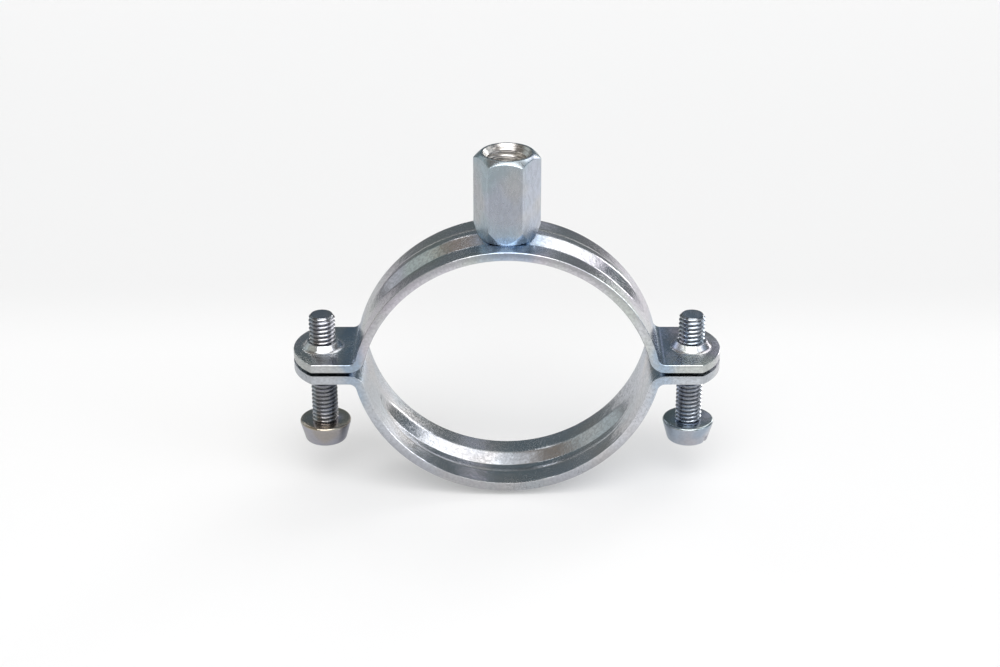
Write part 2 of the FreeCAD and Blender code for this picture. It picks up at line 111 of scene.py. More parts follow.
class Bench:
    """The modelling operators that all pieces share, used on one mesh at a time."""

    @staticmethod
    def deselect() -> None:
        """Leave edit mode and deselect everything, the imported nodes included."""
        if bpy.context.mode != "OBJECT":
            bpy.ops.object.mode_set(mode="OBJECT")
        bpy.ops.object.select_all(action="DESELECT")

    @staticmethod
    def activate(piece: Piece) -> None:
        """Make one piece the only selected and active object."""
        Bench.deselect()
        piece.select_set(True)
        bpy.context.view_layer.objects.active = piece

    @staticmethod
    @contextmanager
    def editing(piece: Piece) -> Iterator[None]:
        """Hold a piece open for editing, with all of it selected at first.

        Args:
            piece: The mesh object to edit.

        Yields:
            Nothing, once the piece is open.
        """
        Bench.activate(piece)
        bpy.ops.object.mode_set(mode="EDIT")
        bpy.ops.mesh.select_all(action="SELECT")
        yield
        bpy.ops.object.mode_set(mode="OBJECT")

    @staticmethod
    def pick(piece: Piece, kind: str, wanted: Callable[[Vector], bool]) -> None:
        """Select the vertices or faces whose place passes a test, in edit mode.

        Args:
            piece: The mesh object that is open for editing.
            kind: VERT or FACE.
            wanted: The test on a vertex's place or on a face's middle.
        """
        bpy.ops.mesh.select_all(action="DESELECT")
        bpy.ops.mesh.select_mode(type=kind)
        mesh = bmesh.from_edit_mesh(piece.data)
        for part in mesh.verts if kind == "VERT" else mesh.faces:
            part.select_set(wanted(part.co if kind == "VERT" else part.calc_center_median()))
        mesh.select_flush_mode()
        bmesh.update_edit_mesh(piece.data)

    @staticmethod
    def primitive(name: str, add: Callable[..., set[str]], **settings: object) -> Piece:
        """Add a primitive mesh and apply its place, turn and size.

        Args:
            name: The new object's name.
            add: The operator that adds it.
            **settings: The operator's settings, in millimetres.

        Returns:
            The new mesh object.
        """
        Bench.deselect()
        add(**settings)
        bpy.ops.object.transform_apply(location=True, rotation=True, scale=True)
        piece = bpy.context.object
        piece.name = name
        piece.data.name = name
        return piece

    @staticmethod
    def chain(name: str, points: Sequence[Point]) -> Piece:
        """Draw an open chain of edges by extruding one vertex from point to point.

        Args:
            name: The new object's name.
            points: The chain's points in millimetres.

        Returns:
            The new mesh object, in object mode.
        """
        piece = Bench.primitive(name, bpy.ops.mesh.primitive_plane_add, size=1.0)
        with Bench.editing(piece):
            bpy.ops.mesh.select_mode(type="VERT")
            bpy.ops.mesh.merge(type="CENTER")
            bpy.ops.transform.translate(value=points[0])
            for start, end in zip(points, points[1:]):
                step = Vector(end) - Vector(start)
                bpy.ops.mesh.extrude_vertices_move(TRANSFORM_OT_translate={"value": step})
        return piece

    @staticmethod
    def spin(angle: float, centre: Point, axis: Point, steps: int) -> None:
        """Sweep the selection round an axis by an angle in radians, by the right-hand rule."""
        bpy.ops.mesh.spin(steps=steps, angle=-angle, center=centre, axis=axis)

    @staticmethod
    def lathe(name: str, profile: Profile, steps: int = ROUND_STEPS) -> Piece:
        """Turn a closed solid about Z.

        Args:
            name: The new object's name.
            profile: Radius and height of each point, from the axis out and back to the axis.
            steps: How many steps one turn takes.

        Returns:
            The closed mesh object.
        """
        piece = Bench.chain(name, [(radius, 0.0, height) for radius, height in profile])
        with Bench.editing(piece):
            Bench.spin(2.0 * math.pi, ORIGIN, UPRIGHT, steps)
        Bench.seal(piece)
        return piece

    @staticmethod
    def seal(piece: Piece) -> None:
        """Merge doubled vertices and turn all faces outwards."""
        with Bench.editing(piece):
            bpy.ops.mesh.remove_doubles(threshold=MERGE_DISTANCE)
            bpy.ops.mesh.normals_make_consistent(inside=False)

    @staticmethod
    def modify(piece: Piece, kind: str, **settings: object) -> None:
        """Add one modifier, set it and apply it.

        Args:
            piece: The mesh object.
            kind: The modifier's type.
            **settings: The modifier's properties.
        """
        Bench.activate(piece)
        modifier = piece.modifiers.new(kind.lower(), kind)
        for key, value in settings.items():
            setattr(modifier, key, value)
        bpy.ops.object.modifier_apply(modifier=modifier.name)

    @staticmethod
    def combine(piece: Piece, tool: Piece, join: Join) -> None:
        """Combine a closed mesh with a tool mesh, and remove the tool.

        Args:
            piece: The mesh that stays.
            tool: The mesh that is added, cut away or intersected.
            join: How the two are combined.
        """
        Bench.modify(piece, "BOOLEAN", operation=join.value, object=tool, solver="EXACT")
        bpy.data.objects.remove(tool)
        Bench.seal(piece)

    @staticmethod
    def round_edges(piece: Piece, radius: float, sharper_than: float, steps: int = 3) -> None:
        """Round the edges that turn by more than an angle.

        Args:
            piece: The mesh object.
            radius: The rounding's width in millimetres.
            sharper_than: The least turn between two faces, in degrees.
            steps: How many faces the rounding has.
        """
        Bench.modify(
            piece,
            "BEVEL",
            width=radius,
            segments=steps,
            limit_method="ANGLE",
            angle_limit=math.radians(sharper_than),
            use_clamp_overlap=True,
        )

    @staticmethod
    def turn(piece: Piece, angle: float, axis: str) -> None:
        """Turn a whole mesh about X, Y or Z by an angle in radians, by the right-hand rule."""
        with Bench.editing(piece):
            bpy.ops.transform.rotate(value=-angle, orient_axis=axis, center_override=ORIGIN)

    @staticmethod
    def shift(piece: Piece, move: Point) -> None:
        """Move a whole mesh by an amount in millimetres."""
        with Bench.editing(piece):
            bpy.ops.transform.translate(value=move)

    @staticmethod
    def finish(piece: Piece, smooth_below: float) -> None:
        """Shade a piece smooth between its edges and scale it from millimetres to metres.

        Args:
            piece: The mesh object.
            smooth_below: Edges that turn by less than this many degrees are shaded smooth.
        """
        with Bench.editing(piece):
            bpy.ops.transform.resize(value=(MILLIMETRE,) * 3, center_override=ORIGIN)
        bpy.ops.object.shade_smooth_by_angle(angle=math.radians(smooth_below))


@dataclass(frozen=True)
class ThreadForm:
    """A right-hand metric thread, in millimetres."""

    major_radius: float
    pitch: float
    depth_share: float = 0.56
    root_flat: float = 0.25
    crest_flat: float = 0.125
    softness: float = 0.14
    steps: int = 48

    @property
    def root_radius(self) -> float:
        """Radius at the thread's root."""
        return self.major_radius - self.depth_share * self.pitch

    def _outline(self, growth: float) -> Profile:
        """Radius and height of each point over one pitch, from root to root.

        Args:
            growth: How much larger than the plain form every radius is.

        Returns:
            The points of one turn's profile.
        """
        root_end = self.root_flat / 2.0
        crest_start = 0.5 - self.crest_flat / 2.0
        soft = (crest_start - root_end) * self.softness
        rising = [
            (0.0, 0.0),
            (root_end - soft, 0.0),
            (root_end + soft, self.softness),
            (crest_start - soft, 1.0 - self.softness),
            (crest_start + soft, 1.0),
        ]
        falling = [(1.0 - share, height) for share, height in reversed(rising)]
        depth = self.major_radius - self.root_radius
        return [
            (self.root_radius + growth + height * depth, share * self.pitch)
            for share, height in rising + falling
        ]

    def rod(self, name: str, low: float, high: float, growth: float = 0.0) -> Piece:
        """A closed threaded rod about Z, whose turns lie at the same heights in every rod.

        Args:
            name: The new object's name.
            low: Height of its lower end.
            high: Height of its upper end.
            growth: How much larger than the plain form every radius is.

        Returns:
            The closed mesh object.
        """
        start = (math.floor(low / self.pitch) - 1) * self.pitch
        turns = math.ceil((high - start) / self.pitch) + 1
        outline = self._outline(growth)
        piece = Bench.chain(name, [(radius, 0.0, start + height) for radius, height in outline])
        Bench.modify(
            piece,
            "SCREW",
            axis="Z",
            angle=2.0 * math.pi,
            screw_offset=self.pitch,
            iterations=turns,
            steps=self.steps,
            render_steps=self.steps,
            use_merge_vertices=True,
            merge_threshold=MERGE_DISTANCE,
        )
        with Bench.editing(piece):
            bpy.ops.mesh.remove_doubles(threshold=MERGE_DISTANCE)
            for end, cleared in ((high, {"clear_outer": True}), (low, {"clear_inner": True})):
                bpy.ops.mesh.select_all(action="SELECT")
                bpy.ops.mesh.bisect(plane_co=(0.0, 0.0, end), plane_no=UPRIGHT, use_fill=True, **cleared)
        Bench.seal(piece)
        return piece

    def countersink(self, mouth_radius: float, mouth: float, inwards: float,
                    steps: int = ROUND_STEPS) -> Piece:
        """A cutter about Z that opens one end of a tapped hole at 45 degrees.

        Args:
            mouth_radius: The hole's radius at its mouth.
            mouth: Height of its mouth.
            inwards: 1 where the hole runs up from its mouth, or -1 where it runs down.
            steps: How many steps one turn takes.

        Returns:
            The closed mesh object.
        """
        funnel = mouth_radius - self.root_radius
        return Bench.lathe("countersink", [
            (0.0, mouth + inwards * funnel),
            (self.root_radius, mouth + inwards * funnel),
            (mouth_radius + funnel, mouth - inwards * funnel),
            (0.0, mouth - inwards * funnel),
        ], steps)


def corner_arc(
    before: tuple[float, float],
    corner: tuple[float, float],
    after: tuple[float, float],
    radius: float,
    steps: int = 4,
) -> Profile:
    """Round one corner of a profile with a tangent arc.

    Args:
        before: The profile's point before the corner.
        corner: The corner itself.
        after: The profile's point after the corner.
        radius: The arc's radius.
        steps: How many steps the arc takes.

    Returns:
        The arc's points, from its start to its end.
    """
    point = Vector(corner)
    towards_start = (Vector(before) - point).normalized()
    towards_end = (Vector(after) - point).normalized()
    half = towards_start.angle(towards_end) / 2.0
    centre = point + (towards_start + towards_end).normalized() * (radius / math.sin(half))
    start = point + towards_start * (radius / math.tan(half)) - centre
    end = point + towards_end * (radius / math.tan(half)) - centre
    sweep = start.angle_signed(end)
    found = []
    for index in range(steps + 1):
        angle = -sweep * index / steps
        cosine, sine = math.cos(angle), math.sin(angle)
        found.append((
            centre.x + start.x * cosine - start.y * sine,
            centre.y + start.x * sine + start.y * cosine,
        ))
    return found


@dataclass(frozen=True)
class Strip:
    """The bent strip's sizes, shared by both halves of the ring, in millimetres and degrees."""

    width: float = 20.0
    thickness: float = 2.0
    seat_radius: float = 33.0
    arc_inset: float = 5.0
    split_gap: float = 0.8
    bend_radius: float = 1.8
    end_radius: float = 13.0
    tip_x: float = 48.6
    bead_width: float = 10.0
    bead_height: float = 1.3
    bead_crown: float = 1.2
    bead_bend_radius: float = 2.0
    bead_start: float = 27.5
    bead_fade: float = 18.0
    bead_slope_share: float = 0.12
    bead_end_share: float = 0.08

    @property
    def outer_radius(self) -> float:
        """Radius of the arc's outer face."""
        return self.seat_radius + self.thickness

    @property
    def flange_top(self) -> float:
        """Height of the upper flange's top face."""
        return self.split_gap / 2.0 + self.thickness

    @property
    def bend_centre(self) -> tuple[float, float]:
        """X and Z of the line about which the strip bends into its flange."""
        height = self.flange_top + self.bend_radius
        reach = self.outer_radius + self.bend_radius
        return math.sqrt(reach ** 2 - (height + self.arc_inset) ** 2), height

    @property
    def bend_start(self) -> float:
        """Azimuth about the arc's centre where the bend starts, in radians."""
        across, height = self.bend_centre
        return math.atan2(height + self.arc_inset, across)

    @property
    def flank_angle(self) -> float:
        """Slope of the bead's straight flank at full height, in radians."""
        across = (self.bead_width - self.bead_crown) / 2.0
        bends = 2.0 * self.bead_bend_radius
        rise = bends - self.bead_height
        return math.atan2(across, rise) - math.acos(bends / math.hypot(across, rise))

    def bead_share(self, azimuth: float) -> float:
        """How much of the bead's full size stands at an azimuth.

        Args:
            azimuth: The azimuth about the arc's centre, in degrees.

        Returns:
            A share from 0 to 1.
        """
        share = (min(azimuth, 180.0 - azimuth) - self.bead_start) / self.bead_fade
        share = min(max(share, 0.0), 1.0)
        return share * (1.5 - 0.5 * share ** 2)

    def bead_rise(self, along: float, share: float) -> float:
        """Height of the bead's outer face above the strip's own face.

        The flank keeps its slope while the bead gets lower, so its outline runs out to a point.

        Args:
            along: Distance from the strip's middle line.
            share: The bead's share at this azimuth.

        Returns:
            The height in millimetres.
        """
        if share <= 0.0:
            return 0.0
        full = self.flank_angle
        angle = full * min(share / self.bead_slope_share, 1.0)
        bend_run = self.bead_bend_radius * math.sin(max(angle, full * self.bead_slope_share))
        size = self.bead_end_share + (1.0 - self.bead_end_share) * share
        half_span = (self.bead_width - self.bead_crown) / 2.0
        flank_run = (half_span - 2.0 * self.bead_bend_radius * math.sin(full)) * size
        crown = self.bead_crown / 2.0 * size
        foot = crown + 2.0 * bend_run + flank_run
        middle_radius = bend_run / math.sin(angle)
        height = 2.0 * middle_radius * (1.0 - math.cos(angle)) + flank_run * math.tan(angle)
        foot_radius = middle_radius - self.thickness / 2.0
        crown_radius = middle_radius + self.thickness / 2.0
        distance = abs(along)
        if distance >= foot:
            return 0.0
        if distance <= crown:
            return height
        if foot - distance <= foot_radius * math.sin(angle):
            return foot_radius - math.sqrt(foot_radius ** 2 - (foot - distance) ** 2)
        if distance - crown <= crown_radius * math.sin(angle):
            return height - crown_radius + math.sqrt(crown_radius ** 2 - (distance - crown) ** 2)
        low_end = foot - foot_radius * math.sin(angle)
        return foot_radius * (1.0 - math.cos(angle)) + (low_end - distance) * math.tan(angle)


@dataclass
class RingHalf:
    """One half of the ring, modelled as the upper half: an arc with a pressed bead and two flanges."""

    name: str
    body: str
    strip: Strip
    screw_x: float
    margin_step: float = 0.5
    bead_step: float = 0.25
    azimuth_step: float = 1.0
    bend_steps: int = 10
    edge_radius: float = 0.22
    edge_sharper_than: float = 60.0
    smooth_below: float = 28.0

    def _columns(self) -> list[float]:
        """Places across the strip, close together over the bead."""
        half_width = self.strip.width / 2.0
        bead_half = self.strip.bead_width / 2.0
        margin_count = round((half_width - bead_half) / self.margin_step)
        bead_count = round(2.0 * bead_half / self.bead_step)
        margin = [half_width - self.margin_step * index for index in range(margin_count)]
        bead = [bead_half - self.bead_step * index for index in range(bead_count + 1)]
        return margin + bead + [-place for place in reversed(margin)]

    def _round_end(self, sheet: Piece, columns: Sequence[float]) -> None:
        """Draw the flange's straight end back to its arc, in edit mode.

        Args:
            sheet: The half's outer face, open for editing.
            columns: The places across the strip.
        """
        strip = self.strip
        nearby = self.bead_step / 4.0
        for place in columns:
            end_x = strip.tip_x - strip.end_radius + math.sqrt(strip.end_radius ** 2 - place ** 2)
            Bench.pick(
                sheet,
                "VERT",
                lambda spot, place=place: spot.x > strip.tip_x - nearby and abs(spot.y - place) < nearby,
            )
            bpy.ops.transform.translate(value=(end_x - strip.tip_x, 0.0, 0.0))

    def _half_sheet(self) -> Piece:
        """Outer face of the right-hand half: arc, bend and flange swept from a line across the strip."""
        strip = self.strip
        columns = self._columns()
        crest = strip.outer_radius - strip.arc_inset
        sheet = Bench.chain(self.name, [(0.0, place, crest) for place in columns])
        arc_sweep = math.pi / 2.0 - strip.bend_start
        arc_steps = round(math.degrees(arc_sweep) / self.azimuth_step)
        bend_x, bend_z = strip.bend_centre
        flange = (strip.tip_x - bend_x, 0.0, 0.0)
        with Bench.editing(sheet):
            Bench.spin(arc_sweep, (0.0, 0.0, -strip.arc_inset), ALONG_PIPE, arc_steps)
            Bench.spin(-arc_sweep, (bend_x, 0.0, bend_z), ALONG_PIPE, self.bend_steps)
            bpy.ops.mesh.extrude_region_move(TRANSFORM_OT_translate={"value": flange})
            self._round_end(sheet, columns)
            Bench.pick(sheet, "FACE", lambda middle: middle.x > bend_x + strip.bend_radius)
            bpy.ops.mesh.dissolve_faces()
            bpy.ops.mesh.select_all(action="SELECT")
            bpy.ops.mesh.normals_make_consistent(inside=False)
        highest = max(sheet.data.polygons, key=lambda face: face.center.z)
        if highest.normal.z < 0.0:
            with Bench.editing(sheet):
                bpy.ops.mesh.flip_normals()
        return sheet

    def _press_bead(self, sheet: Piece) -> None:
        """Push the bead out of the plain arc, by weights that follow its section and its fading ends."""
        strip = self.strip
        group = sheet.vertex_groups.new(name="bead")
        for vertex in sheet.data.vertices:
            spot = vertex.co
            azimuth = math.degrees(math.atan2(spot.z + strip.arc_inset, spot.x))
            rise = strip.bead_rise(spot.y, strip.bead_share(azimuth))
            if rise > 0.0:
                group.add([vertex.index], rise / strip.bead_height, "REPLACE")
        Bench.modify(sheet, "DISPLACE", vertex_group=group.name, strength=strip.bead_height, mid_level=0.0)
        sheet.vertex_groups.clear()

    def blank(self) -> Piece:
        """The bent and beaded half before its holes, closed and with its full thickness."""
        sheet = self._half_sheet()
        Bench.modify(sheet, "MIRROR", use_axis=(True, False, False), merge_threshold=MERGE_DISTANCE)
        self._press_bead(sheet)
        Bench.modify(sheet, "SOLIDIFY", thickness=self.strip.thickness, offset=-1.0, use_even_offset=True)
        Bench.seal(sheet)
        return sheet


@dataclass
class LowerHalf(RingHalf):
    """The lower half, with plain holes that the screws pass."""

    hole_radius: float = 3.5

    def build(self) -> Piece:
        """Model the half, drill it and hang it below the parting plane."""
        band = self.blank()
        for side in Side:
            drill = Bench.primitive(
                "drill",
                bpy.ops.mesh.primitive_cylinder_add,
                vertices=ROUND_STEPS,
                radius=self.hole_radius,
                depth=4.0 * self.strip.thickness,
                location=side.place(self.screw_x),
            )
            Bench.combine(band, drill, Join.CUT)
        Bench.round_edges(band, self.edge_radius, self.edge_sharper_than)
        Bench.turn(band, math.pi, "Y")
        Bench.finish(band, self.smooth_below)
        return band


@dataclass
class UpperHalf(RingHalf):
    """The upper half, with a tapped collar in each flange and a seat pressed flat for the boss."""

    thread: ThreadForm = field(default_factory=lambda: ThreadForm(3.0, 1.0))
    thread_clearance: float = 0.05
    collar_height: float = 1.5
    collar_root_radius: float = 4.55
    collar_top_radius: float = 3.5
    collar_skirt: float = 1.0
    collar_root_fillet: float = 1.3
    collar_root_steps: int = 8
    collar_top_fillet: float = 0.15
    mouth_radius: float = 3.15
    boss_seat_radius: float = 6.4
    boss_seat_slope: float = 69.0
    plug_radius: float = 7.25
    plug_sink: float = 0.4
    plug_recess: float = 0.02
    plug_steps: int = 72
    pipe_steps: int = 480

    def _fill_under_boss(self, band: Piece) -> None:
        """Close the groove under the boss, where the bead is pressed back flat."""
        strip = self.strip
        floor = strip.outer_radius - strip.arc_inset
        top = floor - self.plug_sink
        low = floor - 2.0 * strip.thickness
        profile = [(0.0, low), (self.plug_radius, low), (self.plug_radius, top), (0.0, top)]
        plug = Bench.lathe("plug", profile, self.plug_steps)
        pipe = Bench.primitive(
            "pipe",
            bpy.ops.mesh.primitive_cylinder_add,
            vertices=self.pipe_steps,
            radius=strip.seat_radius + self.plug_recess,
            depth=2.0 * strip.width,
            location=(0.0, 0.0, -strip.arc_inset),
            rotation=(math.pi / 2.0, 0.0, 0.0),
        )
        Bench.combine(plug, pipe, Join.CUT)
        Bench.combine(band, plug, Join.ADD)

    def _cut_seat(self, band: Piece) -> None:
        """Sink the boss's tapered end into the bead."""
        strip = self.strip
        floor = strip.outer_radius - strip.arc_inset
        top = floor + 2.0 * strip.thickness
        rim = self.boss_seat_radius + (top - floor) / math.tan(math.radians(self.boss_seat_slope))
        profile = [(0.0, floor), (self.boss_seat_radius, floor), (rim, top), (0.0, top)]
        Bench.combine(band, Bench.lathe("seat", profile), Join.CUT)

    def _add_collars(self, band: Piece) -> None:
        """Raise a flared collar round each tapped hole."""
        face = self.strip.flange_top
        root = (self.collar_root_radius, face)
        top = (self.collar_top_radius, face + self.collar_height)
        low = face - self.strip.thickness / 2.0
        skirt = (self.collar_root_radius + self.collar_skirt, face)
        profile = [(0.0, low), (skirt[0], low), skirt]
        profile += corner_arc(skirt, root, top, self.collar_root_fillet, self.collar_root_steps)
        profile += corner_arc(root, top, (0.0, top[1]), self.collar_top_fillet)
        profile += [(0.0, top[1])]
        for side in Side:
            collar = Bench.lathe("collar", profile)
            Bench.shift(collar, side.place(self.screw_x))
            Bench.combine(band, collar, Join.ADD)

    def _tap_holes(self, band: Piece) -> None:
        """Cut each thread, with a countersink at both ends."""
        low = -self.strip.thickness
        high = self.strip.flange_top + 2.0 * self.collar_height
        top = self.strip.flange_top + self.collar_height
        under = self.strip.split_gap / 2.0
        for side in Side:
            for cutter in (
                self.thread.rod("tap", low, high, self.thread_clearance),
                self.thread.countersink(self.mouth_radius, top, -1.0),
                self.thread.countersink(self.mouth_radius, under, 1.0),
            ):
                Bench.shift(cutter, side.place(self.screw_x))
                Bench.combine(band, cutter, Join.CUT)

    def build(self) -> Piece:
        """Model the half with its seat, collars and threads."""
        band = self.blank()
        Bench.round_edges(band, self.edge_radius, self.edge_sharper_than)
        self._fill_under_boss(band)
        self._cut_seat(band)
        self._add_collars(band)
        self._tap_holes(band)
        Bench.finish(band, self.smooth_below)
        return band


@dataclass
class HangerBoss:
    """The hexagonal boss that a threaded rod screws into, welded on top of the upper half."""

    name: str
    body: str = "hanger"
    flats: float = 13.0
    length: float = 19.6
    floor: float = 30.0
    turn: float = -3.3
    top_radius: float = 5.9
    top_slope: float = 40.0
    end_radius: float = 6.35
    end_slope: float = 69.0
    edge_radius: float = 0.16
    edge_sharper_than: float = 14.0
    mouth_radius: float = 5.35
    tool_reach: float = 1.2
    turned_steps: int = 128
    thread: ThreadForm = field(default_factory=lambda: ThreadForm(5.0, 1.5, depth_share=0.5, steps=72))
    smooth_below: float = 24.0

    def _turned_profiles(self, beyond: float) -> tuple[Profile, Profile]:
        """What turning leaves of the bar at its lower and at its upper end.

        Args:
            beyond: A radius outside the hexagon's corners.

        Returns:
            The two closed profiles, of which the boss keeps what they have in common.
        """
        top = self.floor + self.length
        below = self.floor - self.length
        end_rise = (beyond - self.end_radius) * math.tan(math.radians(self.end_slope))
        top_fall = (beyond - self.top_radius) * math.tan(math.radians(self.top_slope))
        end = [
            (0.0, self.floor),
            (self.end_radius, self.floor),
            (beyond, self.floor + end_rise),
            (beyond, top),
            (0.0, top),
        ]
        crown = [
            (0.0, below),
            (beyond, below),
            (beyond, top - top_fall),
            (self.top_radius, top),
            (0.0, top),
        ]
        return end, crown

    def build(self) -> Piece:
        """Model the boss: hexagon bar, turned corners, then the tapped bore."""
        top = self.floor + self.length
        corner = self.flats / 2.0 / math.cos(math.radians(30.0))
        boss = Bench.primitive(
            self.name,
            bpy.ops.mesh.primitive_cylinder_add,
            vertices=6,
            radius=corner,
            depth=self.length,
            location=(0.0, 0.0, self.floor + self.length / 2.0),
            rotation=(0.0, 0.0, math.radians(90.0 + self.turn)),
        )
        for profile in self._turned_profiles(self.tool_reach * corner):
            Bench.combine(boss, Bench.lathe("turned", profile, self.turned_steps), Join.KEEP_COMMON)
        Bench.round_edges(boss, self.edge_radius, self.edge_sharper_than)
        tap = self.thread.rod("tap", self.floor - self.thread.pitch, top + self.thread.pitch)
        Bench.combine(boss, tap, Join.CUT)
        mouth = self.thread.countersink(self.mouth_radius, top, -1.0, self.turned_steps)
        Bench.combine(boss, mouth, Join.CUT)
        Bench.finish(boss, self.smooth_below)
        return boss


@dataclass
class ClampScrew:
    """A fully threaded screw with a slotted, tapered head at its lower end."""

    side: Side
    slot_angle: float
    screw_x: float
    head_seat: float = -16.2
    tip: float = 10.4
    head_radius: float = 6.05
    head_end_radius: float = 4.65
    head_height: float = 5.1
    head_edge_radius: float = 0.55
    head_end_edge_radius: float = 0.7
    head_end_edge_steps: int = 6
    slot_width: float = 1.3
    slot_depth: float = 1.9
    slot_edge_radius: float = 0.12
    slot_edge_sharper_than: float = 50.0
    slot_edge_steps: int = 2
    tip_chamfer: float = 0.6
    thread: ThreadForm = field(default_factory=lambda: ThreadForm(3.0, 1.0))
    smooth_below: float = 32.0

    @property
    def body(self) -> str:
        """The name of the screw's body."""
        return f"{self.side.word}_screw"

    @property
    def name(self) -> str:
        """The piece's own name."""
        return f"{self.side.word}_clamp_screw"

    def _head(self) -> Piece:
        """The head with its rounded edges and its slot."""
        seat = self.head_seat
        end = seat - self.head_height
        inner = (0.0, end)
        low = (self.head_end_radius, end)
        high = (self.head_radius, seat)
        profile = [inner]
        profile += corner_arc(inner, low, high, self.head_end_edge_radius, self.head_end_edge_steps)
        profile += corner_arc(low, high, (0.0, seat), self.head_edge_radius)
        profile += [(0.0, seat)]
        head = Bench.lathe(self.name, profile)
        slot = Bench.primitive(
            "slot",
            bpy.ops.mesh.primitive_cube_add,
            size=1.0,
            location=(0.0, 0.0, end),
            rotation=(0.0, 0.0, math.radians(self.slot_angle)),
            scale=(3.0 * self.head_radius, self.slot_width, 2.0 * self.slot_depth),
        )
        Bench.combine(head, slot, Join.CUT)
        Bench.round_edges(head, self.slot_edge_radius, self.slot_edge_sharper_than, self.slot_edge_steps)
        return head

    def build(self) -> Piece:
        """Model the screw: head, thread and chamfered tip."""
        screw = self._head()
        radius = self.thread.major_radius
        beyond = radius + self.tip_chamfer
        low = self.head_seat - self.tip_chamfer
        shank = self.thread.rod("shank", low, self.tip + self.thread.pitch)
        envelope = Bench.lathe("envelope", [
            (0.0, low - self.thread.pitch),
            (beyond, low - self.thread.pitch),
            (beyond, self.tip - 2.0 * self.tip_chamfer),
            (radius - self.tip_chamfer, self.tip),
            (0.0, self.tip),
        ])
        Bench.combine(shank, envelope, Join.KEEP_COMMON)
        Bench.combine(screw, shank, Join.ADD)
        Bench.shift(screw, self.side.place(self.screw_x))
        Bench.finish(screw, self.smooth_below)
        return screw


@dataclass
class PhotoCamera:
    """The camera at the photograph's viewing angle, from a pinhole fitted to the clamp's edges."""

    image_width: float = 1000.0
    focal_pixels: float = 2102.8
    sensor_width: float = 36.0
    pitch_down: float = 26.165
    place: tuple[float, float, float] = (-1.575, -429.2, 216.36)
    sight: tuple[float, float] = (0.01, 20.0)

    def build(self) -> None:
        """Make the camera and set it as the scene's own."""
        data = bpy.data.cameras.new("photo_camera")
        data.sensor_width = self.sensor_width
        data.lens = self.focal_pixels * self.sensor_width / self.image_width
        data.clip_start, data.clip_end = self.sight
        camera = bpy.data.objects.new("photo_camera", data)
        camera.location = [MILLIMETRE * value for value in self.place]
        camera.rotation_euler = (math.radians(90.0 - self.pitch_down), 0.0, 0.0)
        bpy.context.scene.collection.objects.link(camera)
        bpy.context.scene.camera = camera


class Wiring:
    """A node tree that is wired up in code, with one short call for each node and link."""

    MIX_SHARE, MIX_FIRST, MIX_SECOND, MIX_RESULT = 0, 6, 7, 2

    def __init__(self, tree: bpy.types.NodeTree) -> None:
        """Keep the tree and start with none of its old nodes."""
        self.tree = tree
        tree.nodes.clear()

    def add(self, kind: str, **settings: object) -> Node:
        """Add a node.

        Args:
            kind: The node's type, such as ShaderNodeMath.
            **settings: The node's own properties.

        Returns:
            The new node.
        """
        node = self.tree.nodes.new(kind)
        for key, value in settings.items():
            setattr(node, key, value)
        return node

    def put(self, value: object, socket: Socket) -> None:
        """Link an output to an input, or set the input to a plain value.

        Args:
            value: The output or the plain value.
            socket: The input that takes it.
        """
        if isinstance(value, Socket):
            self.tree.links.new(value, socket)
        else:
            socket.default_value = value

    def feed(self, target: Node, **inputs: object) -> Node:
        """Set or link a node's inputs.

        Args:
            target: The node that takes the inputs.
            **inputs: For each input, its name with _ for a space, and a plain value or an output.

        Returns:
            The same node.
        """
        for key, value in inputs.items():
            self.put(value, target.inputs[key.replace("_", " ")])
        return target

    def math(self, operation: str, *values: object) -> Socket:
        """A Math node's result.

        Args:
            operation: The node's operation.
            *values: Its inputs in order, as plain numbers or outputs.

        Returns:
            The node's output.
        """
        node = self.add("ShaderNodeMath", operation=operation)
        for value, socket in zip(values, node.inputs):
            self.put(value, socket)
        return node.outputs[0]

    def vector(self, operation: str, *values: object) -> Outputs:
        """A Vector Math node's results.

        Args:
            operation: The node's operation.
            *values: Its inputs in order, as plain vectors or outputs.

        Returns:
            The node's outputs, named Vector and Value.
        """
        node = self.add("ShaderNodeVectorMath", operation=operation)
        for value, socket in zip(values, node.inputs):
            self.put(value, socket)
        return node.outputs

    def split(self, vector: Socket) -> Outputs:
        """A vector's parts, as outputs named X, Y and Z."""
        return self.feed(self.add("ShaderNodeSeparateXYZ"), Vector=vector).outputs

    def blend(self, share: object, first: object, second: object, mode: str = "MIX") -> Socket:
        """Blend two colours.

        Args:
            share: How much of the second colour shows, above 1 only where it is added.
            first: The first colour, plain or linked.
            second: The second colour, plain or linked.
            mode: The node's way of blending.

        Returns:
            The blended colour.
        """
        node = self.add("ShaderNodeMix", data_type="RGBA", blend_type=mode, clamp_factor=mode == "MIX")
        self.put(share, node.inputs[self.MIX_SHARE])
        self.put(first, node.inputs[self.MIX_FIRST])
        self.put(second, node.inputs[self.MIX_SECOND])
        return node.outputs[self.MIX_RESULT]

    def spread(self, value: Socket, low: object, high: object, new_low: float = 0.0,
               new_high: float = 1.0) -> Socket:
        """Map a range of values smoothly onto another one.

        Args:
            value: The output that is mapped.
            low: The value that gives new_low, plain or linked.
            high: The value that gives new_high, plain or linked.
            new_low: The result at low and below.
            new_high: The result at high and above.

        Returns:
            The mapped value.
        """
        node = self.add("ShaderNodeMapRange", interpolation_type="SMOOTHSTEP")
        self.feed(node, Value=value, From_Min=low, From_Max=high, To_Min=new_low, To_Max=new_high)
        return node.outputs["Result"]

    def noise(self, place: Socket, scale: object, detail: float) -> Socket:
        """A noise pattern's value, around one half, with its scale in features to the metre."""
        node = self.add("ShaderNodeTexNoise")
        return self.feed(node, Vector=place, Scale=scale, Detail=detail).outputs[0]


